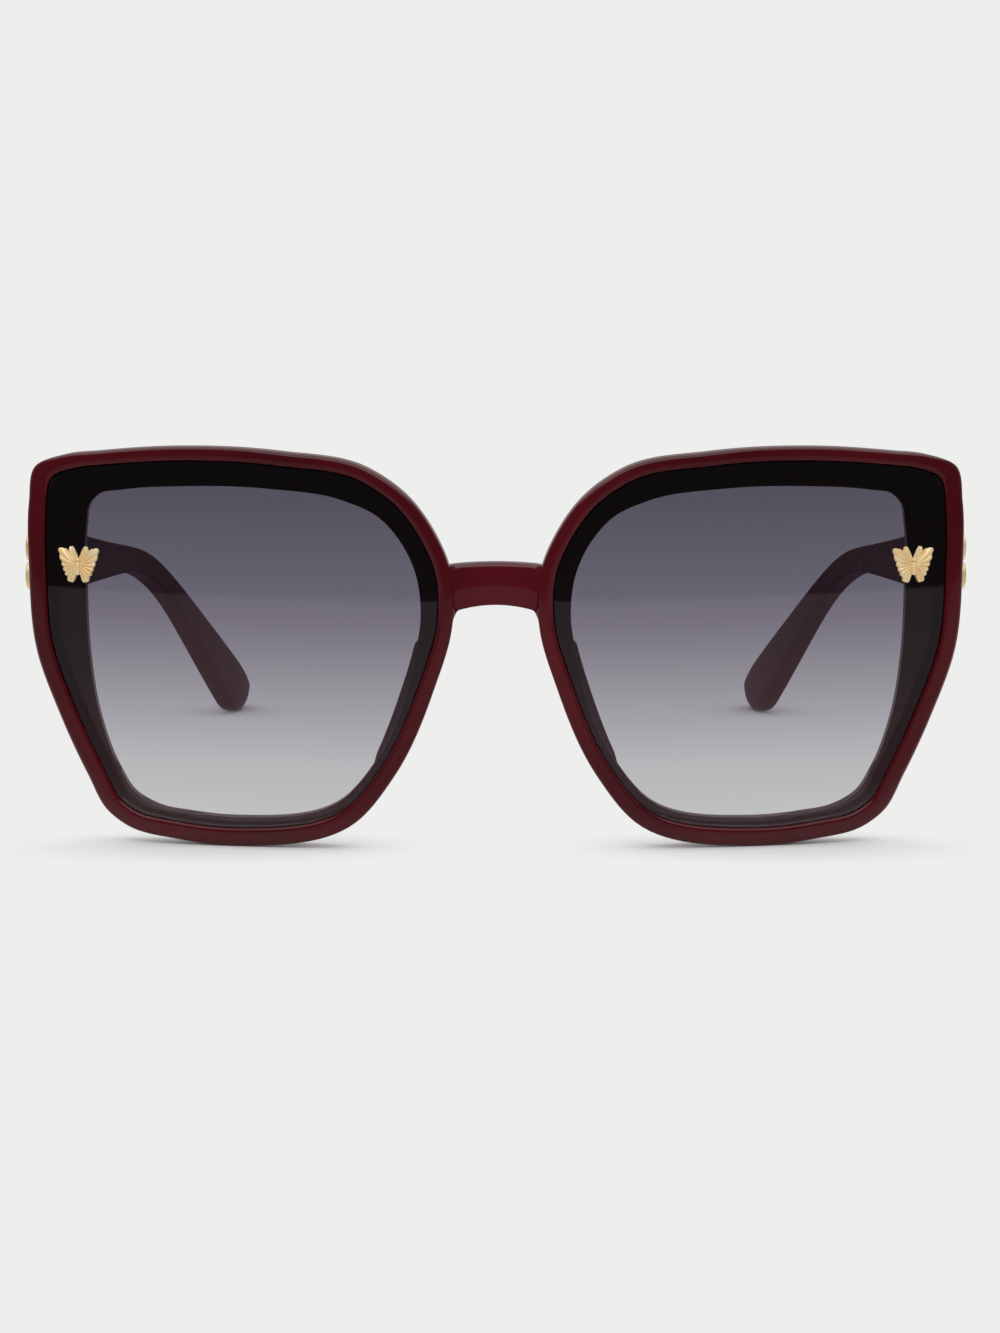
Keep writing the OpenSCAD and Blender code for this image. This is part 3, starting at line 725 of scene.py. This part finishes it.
def padRing(t):
    s = padSizes
    first = stations - s["from"] * spanSteps
    last = stations - s["to"] * spanSteps
    at = first + (last - first) * t
    edge = between(rimLine, at)
    across = between(ledgeLine, at) - edge
    reach = across.length
    swell = sind(s["endTurn"] + (180 - 2 * s["endTurn"]) * t) ** s["swellPower"]
    full = reach + s["lean"] * sind(180 * t ** s["leanPower"]) - s["fromEdge"]
    fromEnds = min(smooth(t / s["upperEnd"]), smooth((1 - t) / s["lowerEnd"]))
    full *= s["endReach"] + (1 - s["endReach"]) * fromEnds
    width = full * (s["endShare"] + (1 - s["endShare"]) * swell)
    ring = []
    for j in range(s["across"]):
        a = 180 * j / (s["across"] - 1)
        into = s["fromEdge"] + full - width + width * ((1 - cosd(a)) / 2 + s["skew"] * sind(a))
        ring.append(onBend(edge + across / reach * into,
                           frontSizes["thickness"] + s["glue"] + s["out"] * swell * sind(a)))
    return ring


def makeNosePads():
    s = padSizes
    points = [p for i in range(s["rings"] + 1) for p in padRing(i / s["rings"])]
    faces = closedFaces(s["rings"] + 1, s["across"])
    makeBothSides("nose_pad", points, faces, padAcetate, onFront, s["sharpAngle"])


makeNosePads()
print("nose pads glued")


# The channel of a temple's core wire
wireChannel = {"thickness": 1.3, "height": 2.1, "fromTip": 10.0, "rings": 26}
templeRings = {"every": 1.0, "around": 48, "tipTurns": list(range(4, 89, 4))}


def templeTaper(s):
    t = templeSizes
    reach = t["shaft"] + t["bend"] * t["taperShare"] - t["evenEnd"]
    return (1 - min(1, max(0, (s - t["evenEnd"]) / reach))) ** t["taperPower"]


def tipSpread(s):
    start = templeSizes["shaft"] + templeSizes["bend"] * templeSizes["spreadShare"]
    return smooth((s - start) / (templeLength - start))


def templeWidthAt(s, full, waist, tip):
    return waist + (full - waist) * templeTaper(s) + (tip - waist) * tipSpread(s)


def templeSection(s):
    t = templeSizes
    return (templeWidthAt(s, t["thickness"], t["waistThickness"], t["tipThickness"]),
            templeWidthAt(s, t["height"], t["waistHeight"], t["tipHeight"]))


def sectionRing(s, thickness, height, above=0):
    u, d = outOfTemple(s), alongTemple(s)
    v = u.cross(d)
    full, tip = templeSizes["squareness"], templeSizes["tipSquareness"]
    power = full + (tip - full) * tipSpread(s)      # rounder towards the tip
    ring = []
    for j in range(templeRings["around"]):
        a = 360 * j / templeRings["around"]
        ring.append(templePoint(s) + u * (thickness / 2 * bentPower(cosd(a), power))
                    + v * (above + height / 2 * bentPower(sind(a), power)))
    return ring


def onButt(ring):
    return [onBend((p.x, p.z), buttDepth) for p in ring]


def makeTemples():
    t, c = templeSizes, wireChannel
    bodyLength = templeLength - t["tipLength"]
    channelLength = bodyLength - c["fromTip"]
    bevel = t["buttBevel"]
    rings = []
    for i in range(c["rings"], 0, -1):
        rings.append(sectionRing(i * channelLength / c["rings"], c["thickness"], c["height"]))
    rings.append(onButt(sectionRing(0, c["thickness"], c["height"])))
    rings.append(onButt(sectionRing(0, t["thickness"] - 2 * bevel, t["height"] - 2 * bevel)))
    rings.append(sectionRing(bevel, t["thickness"], t["height"]))
    count = round(bodyLength / templeRings["every"])
    for i in range(1, count + 1):
        rings.append(sectionRing(i * bodyLength / count, *templeSection(i * bodyLength / count)))
    for a in templeRings["tipTurns"]:
        s = bodyLength + t["tipLength"] * sind(a)
        thickness, height = templeSection(s)
        rings.append(sectionRing(s, thickness * math.sqrt(cosd(a)), height * cosd(a),
                                 t["tipRise"] * height / 2 * (1 - cosd(a))))
    points = [p for ring in rings for p in ring]
    faces = closedFaces(len(rings), templeRings["around"])
    makeBothSides("temple", points, faces, templeAcetate, onTemple, t["sharpAngle"])


makeTemples()
print("temples bent")


# Butterflies: two leaves to a wing, with ribs that end in scallops
butterflySizes = {
    "span": 6.6,
    "in": 8.3,                  # from the outer edge of the front
    "height": 43.4,
    "leafHeight": 0.5,
    "ribHeight": 0.42,
    "pin": 0.5,
    "pinDepth": 3.25,
    "pinSides": 24,
    "sharpAngle": 50,
}
# How a leaf is shaped between its root and its edge
leafLook = {
    "rings": 12, "ringPower": 0.8, "edgeSteps": 14,
    "edgeFall": 0.45, "fallPower": 4, "fallReach": 0.995,   # the leaf sinks towards its edge
    "ribCrest": 1.25, "ribPower": 4,                        # the ribs rise outwards and sink at the edge
    "evenWave": 0.7, "scallopPower": 3,                     # the edge waves with the ribs
}
# Shares of the span, from the body's middle
outerKnots = [
    (0.030, 0.020), (0.110, 0.150), (0.200, 0.235), (0.285, 0.335), (0.365, 0.388), (0.445, 0.388),
    (0.500, 0.335), (0.500, 0.260), (0.475, 0.190), (0.450, 0.110), (0.420, 0.020), (0.375, -0.110),
    (0.335, -0.210), (0.285, -0.290), (0.255, -0.370), (0.195, -0.425), (0.130, -0.400), (0.075, -0.310),
    (0.030, -0.200), (0.020, -0.080),
]
innerKnots = [
    (0.015, 0.060), (0.030, 0.200), (0.075, 0.300), (0.120, 0.380), (0.165, 0.432), (0.210, 0.420),
    (0.240, 0.350), (0.260, 0.260), (0.230, 0.160), (0.130, 0.070), (0.050, 0.030),
]
leaves = [
    {"knots": outerKnots, "root": (0.05, -0.01), "ribs": 18, "scallop": 0.085, "base": 1.0, "relief": 1.0},
    {"knots": innerKnots, "root": (0.045, 0.04), "ribs": 18, "scallop": 0.04, "base": 0.74, "relief": 0.8},
]
# Distance along the body, height and radius in mm
bodyBars = [
    [(-1.62, 0.40, 0.10), (-1.58, 0.42, 0.26), (-1.48, 0.44, 0.34), (-0.90, 0.46, 0.37),
     (-0.30, 0.48, 0.38), (0.25, 0.48, 0.34), (0.34, 0.48, 0.24), (0.40, 0.46, 0.08)],
    [(0.46, 0.44, 0.08), (0.52, 0.44, 0.22), (0.72, 0.44, 0.30), (0.92, 0.44, 0.22), (0.98, 0.44, 0.08)],
]
barSides = 20


def leafShell(leaf):
    # a fan of ribs from the root, flat below
    look, span = leafLook, butterflySizes["span"]
    base = leaf["base"] * butterflySizes["leafHeight"]
    relief = leaf["relief"] * butterflySizes["ribHeight"]
    edge = closedCurve([Vector(k) for k in leaf["knots"]], look["edgeSteps"])
    root = Vector(leaf["root"])
    angles = [math.atan2(p.y - root.y, p.x - root.x) for p in edge]
    waves = [abs(math.cos(leaf["ribs"] / 2 * angle)) for angle in angles]
    rings, count = look["rings"], len(edge)
    points = []
    for r in range(1, rings + 1):
        share = (r / rings) ** look["ringPower"]
        roundness = math.sqrt(max(0, 1 - (share * look["fallReach"]) ** look["fallPower"]))
        fall = 1 - look["edgeFall"] * (1 - roundness)
        crest = share * (look["ribCrest"] - share ** look["ribPower"])
        for p, wave in zip(edge, waves):
            reach = 1 + leaf["scallop"] * (wave - look["evenWave"]) * share ** look["scallopPower"]
            q = root + (p - root) * share * reach
            points.append(Vector((q.x * span, q.y * span, base * fall + relief * (wave - 0.5) * crest)))
    for p, wave in zip(edge, waves):
        q = root + (p - root) * (1 + leaf["scallop"] * (wave - look["evenWave"]))
        points.append(Vector((q.x * span, q.y * span, 0)))
    faces = loopFaces(rings + 1, count)
    points.append(Vector((root.x * span, root.y * span, base)))
    points.append(Vector((root.x * span, root.y * span, 0)))
    top, bottom = len(points) - 2, len(points) - 1
    for i in range(count):
        n = (i + 1) % count
        faces.append((top, i, n))
        faces.append((bottom, rings * count + n, rings * count + i))
    return points, faces


def barShell(stops):
    # a round bar along Y with its own radius at each stop
    points = []
    for y, z, r in stops:
        for j in range(barSides):
            a = 360 * j / barSides
            points.append(Vector((r * cosd(a), y, z + r * sind(a))))
    return points, closedFaces(len(stops), barSides)


def pinShell():
    s = butterflySizes
    points = []
    for z in (s["leafHeight"] - s["pinDepth"], s["leafHeight"] / 2):
        for j in range(s["pinSides"]):
            a = 360 * j / s["pinSides"]
            points.append(Vector((s["pin"] * cosd(a), s["pin"] * sind(a), z)))
    return points, closedFaces(2, s["pinSides"])


def turnedShell(shell, seat):
    return [seat @ p for p in shell[0]], shell[1]


def flipped(shell):
    return mirrored(shell[0]), shell[1]


def makeButterflies():
    s = butterflySizes
    shells = []
    for leaf in leaves:
        shell = leafShell(leaf)
        shells += [shell, flipped(shell)]
    shells += [barShell(stops) for stops in bodyBars]
    shells.append(pinShell())
    seat = frontSeat((frontSizes["width"] / 2 - s["in"], s["height"]), frontSizes["lensSet"])
    points, faces = joinShells([turnedShell(shell, seat) for shell in shells])
    makeBothSides("butterfly", points, faces, paleGold, onFront, s["sharpAngle"])


makeButterflies()
print("butterflies pinned")


# Temple ornaments: two domed bars on a plate
ornamentSizes = {
    "length": 9.0, "barHeight": 4.4, "pitch": 4.5, "plate": 0.5, "out": 1.6,
    "fromEnd": 3.0, "domeRadius": 7.92, "edgeRound": 0.18,
    "rings": 14, "sides": 40, "edgeSteps": 4, "sharpAngle": 45,
}


def domedBar(up):
    s = ornamentSizes
    half, mid = s["barHeight"] / 2, s["length"] / 2 - s["barHeight"] / 2
    points, ring = [], []
    for j in range(s["sides"]):
        a = 360 * (j + 0.5) / s["sides"] - 90
        ring.append((mid if cosd(a) > 0 else -mid, cosd(a), sind(a)))

    def addRing(r, x):
        for start, c, n in ring:
            points.append(Vector((x, start + r * c, up + r * n)))

    def domeAt(r):
        return s["out"] - s["domeRadius"] + math.sqrt(s["domeRadius"] ** 2 - r * r)

    addRing(half, 0)
    addRing(half, domeAt(half) - s["edgeRound"])
    for a in quarterTurn(s["edgeSteps"])[1:]:
        r = half - s["edgeRound"] * (1 - cosd(a))
        addRing(r, domeAt(r) - s["edgeRound"] * (1 - sind(a)))
    rim = half - s["edgeRound"]
    for k in range(1, s["rings"]):
        r = rim * (1 - k / s["rings"])
        addRing(r, domeAt(r))
    return points, closedFaces(len(points) // s["sides"], s["sides"])


def plateShell():
    s = ornamentSizes
    halfY, halfZ = (s["length"] - s["barHeight"]) / 2, s["pitch"] / 2
    corners = [(-halfY, -halfZ), (halfY, -halfZ), (halfY, halfZ), (-halfY, halfZ)]
    points = [Vector((x, y, z)) for x in (0, s["plate"]) for y, z in corners]
    return points, closedFaces(2, len(corners))


def makeOrnaments():
    s = ornamentSizes
    outer = Matrix.Translation((templeSizes["thickness"] / 2, 0, 0))
    seat = templeSeat(s["fromEnd"] + s["length"] / 2) @ outer
    shells = [domedBar(s["pitch"] / 2), domedBar(-s["pitch"] / 2), plateShell()]
    points, faces = joinShells([turnedShell(shell, seat) for shell in shells])
    makeBothSides("temple_ornament", points, faces, paleGold, onTemple, s["sharpAngle"])


makeOrnaments()
print("ornaments pinned")


# Hinges, screws, washers and core wires keep their solids. Each has its finish and the width in metres
# by which its sharp edges are broken.
fittings = {
    "hinge_front": (nickelSilver, 0.00012), "temple_hinge": (nickelSilver, 0.00012),
    "hinge_screw": (screwSteel, 0.00006), "hinge_washers": (nylon, 0.00003), "core_wire": (wireSteel, 0),
}
edgeBreak = {"segments": 2, "angle": 40}
for fitting, (finish, edgeWidth) in fittings.items():
    for side in ("left", "right"):
        solid = cadNodes[f"{fitting}_{side}"]
        for materialSlot in solid.material_slots:
            materialSlot.material = finish
        if edgeWidth:
            broken = solid.modifiers.new("brokenEdges", "BEVEL")
            broken.width = edgeWidth
            broken.segments = edgeBreak["segments"]
            broken.limit_method = "ANGLE"
            broken.angle_limit = math.radians(edgeBreak["angle"])
            broken.harden_normals = True
print("fittings finished")


# The table, the room, the lamps and the camera are in metres
backdropTone = (0.855, 0.855, 0.845)
tableLook = {
    "paper": (0.808, 0.808, 0.799), "paperScale": 900, "paperHeight": 0.00001,
    "front": -1.05, "back": 3.0, "side": 3.0, "below": 0.00005,
    "rest": (0.044, 0.075, 0),      # rims and tips stand near here, on either side
    "squeeze": 0.4,                 # the shadow is longer across than along
    "shadow": (0.001, 0.016),       # distances over which it fades
    "brightMiddle": -0.035, "bright": (0.033, 0.062),    # a strip in Y that is mirrored bright
    # painted shade: the dim tone that the table glows with for glossy rays outside the strip
    "shade": (0.38, 0.335, 0.345),
}


def farFromRests(tree, place):
    # 0 where the rims and the tips stand, 1 away from them
    t = tableLook
    at = place
    for operation, value in (("ABSOLUTE", None), ("SUBTRACT", t["rest"]), ("MULTIPLY", (t["squeeze"], 1, 0))):
        inputs = {1: value} if value else None
        at = addNode(tree, "VectorMath", {"operation": operation}, inputs, {0: at}).outputs["Vector"]
    apart = addNode(tree, "VectorMath", {"operation": "LENGTH"}, None, {0: at}).outputs["Value"]
    return rangeOf(tree, apart, (t["shadow"][0], 0.0), (t["shadow"][1], 1.0), "SMOOTHSTEP")


def farFromStrip(tree, place):
    t = tableLook
    off = calculated(tree, "SUBTRACT", partOf(tree, place, "Y"), t["brightMiddle"])
    either = calculated(tree, "ABSOLUTE", off)
    return rangeOf(tree, either, (t["bright"][0], 0.0), (t["bright"][1], 1.0), "SMOOTHSTEP")


def tableFinish():
    t = tableLook
    finish, tree = newFinish("paleTable")
    place = objectPlace(tree)
    rays = addNode(tree, "LightPath").outputs
    paper = ripple(tree, grain(tree, place, t["paperScale"]), t["paperHeight"])
    sheet = addNode(tree, "BsdfDiffuse", None, {"Color": (*t["paper"], 1)}, {"Normal": paper}).outputs["BSDF"]
    # away from where the rims and the tips rest, the table runs into the backdrop's tone
    plain = calculated(tree, "MULTIPLY", seenRays(tree, rays), farFromRests(tree, place))
    seen = blended(tree, plain, sheet, glowing(tree, "Emission", backdropTone))
    # away from the glasses, rays mirrored off the polish see painted shade: a dim glowing tone in place of
    # the lit sheet
    shaded = calculated(tree, "MULTIPLY", rays["Is Glossy Ray"], farFromStrip(tree, place))
    final = blended(tree, shaded, seen, glowing(tree, "Emission", t["shade"]))
    addNode(tree, "OutputMaterial", links={"Surface": final})
    return finish


def makeTable():
    t = tableLook
    mesh = bpy.data.meshes.new("table")
    side, front, back = t["side"], t["front"], t["back"]
    corners = [(-side, front), (side, front), (side, back), (-side, back)]
    mesh.from_pydata([(x, y, -t["below"]) for x, y in corners], [], [(0, 1, 2, 3)])
    mesh.materials.append(tableFinish())
    table = bpy.data.objects.new("table", mesh)
    bpy.context.scene.collection.objects.link(table)


roomLook = {
    "fill": 0.42,
    "darkRoom": 0.09, "mirrored": 0.32, "mirroredTone": (1.0, 0.87, 0.88),
    "turn": (-0.55, 0.15),          # directions in Y between which the one runs into the other
}


def makeRoom():
    r = roomLook
    world = bpy.data.worlds.new("room")
    bpy.context.scene.world = world
    world.use_nodes = True
    tree = world.node_tree
    tree.nodes.clear()
    rays = addNode(tree, "LightPath").outputs
    # a dark room lies in front of the table, the pale backdrop behind it
    ahead = partOf(tree, addNode(tree, "TexCoord").outputs["Generated"], "Y")
    darkEnd, paleEnd = (r["turn"][0], r["darkRoom"]), (r["turn"][1], r["mirrored"])
    strength = rangeOf(tree, ahead, darkEnd, paleEnd, "SMOOTHSTEP")
    mirror = addNode(tree, "Background", None, {"Color": (*r["mirroredTone"], 1)}, {"Strength": strength})
    fill = glowing(tree, "Background", (1, 1, 1), r["fill"])
    unseen = blended(tree, rays["Is Glossy Ray"], fill, mirror.outputs["Background"])
    shown = blended(tree, seenRays(tree, rays), unseen, glowing(tree, "Background", backdropTone))
    addNode(tree, "OutputWorld", links={"Surface": shown})


lamps = {
    "overhead": {"place": (0.0, 0.1, 1.3), "aim": (0, 0.1, 0), "size": (2.2, 2.0), "power": 17.5},
    "frontFill": {"place": (0.0, -0.80, 0.90), "aim": (0, 0, 0.03), "size": (0.8, 0.4), "power": 2.2},
}


def makeLamp(name, look):
    data = bpy.data.lights.new(name, "AREA")
    data.shape = "RECTANGLE"
    data.size, data.size_y = look["size"]
    data.energy = look["power"]
    lamp = bpy.data.objects.new(name, data)
    lamp.location = look["place"]
    aim = Vector(look["aim"]) - lamp.location
    lamp.rotation_euler = aim.to_track_quat("-Z", "Y").to_euler()
    bpy.context.scene.collection.objects.link(lamp)


cameraLook = {
    "place": (0.00065, -0.51578, 0.08543), "pitch": -7.4, "lens": 78.26, "sensor": 36, "nearest": 0.01,
}


def makeCamera():
    data = bpy.data.cameras.new("photoCamera")
    data.sensor_fit = "AUTO"
    data.sensor_width = cameraLook["sensor"]
    data.lens = cameraLook["lens"]
    data.clip_start = cameraLook["nearest"]
    camera = bpy.data.objects.new("photoCamera", data)
    camera.location = cameraLook["place"]
    camera.rotation_euler = (math.radians(90 + cameraLook["pitch"]), 0, 0)
    bpy.context.scene.collection.objects.link(camera)
    bpy.context.scene.camera = camera


makeTable()
makeRoom()
for lampName, lampLook in lamps.items():
    makeLamp(lampName, lampLook)
makeCamera()
bpy.context.scene.view_settings.view_transform = "Standard"
print("table, light and camera set")
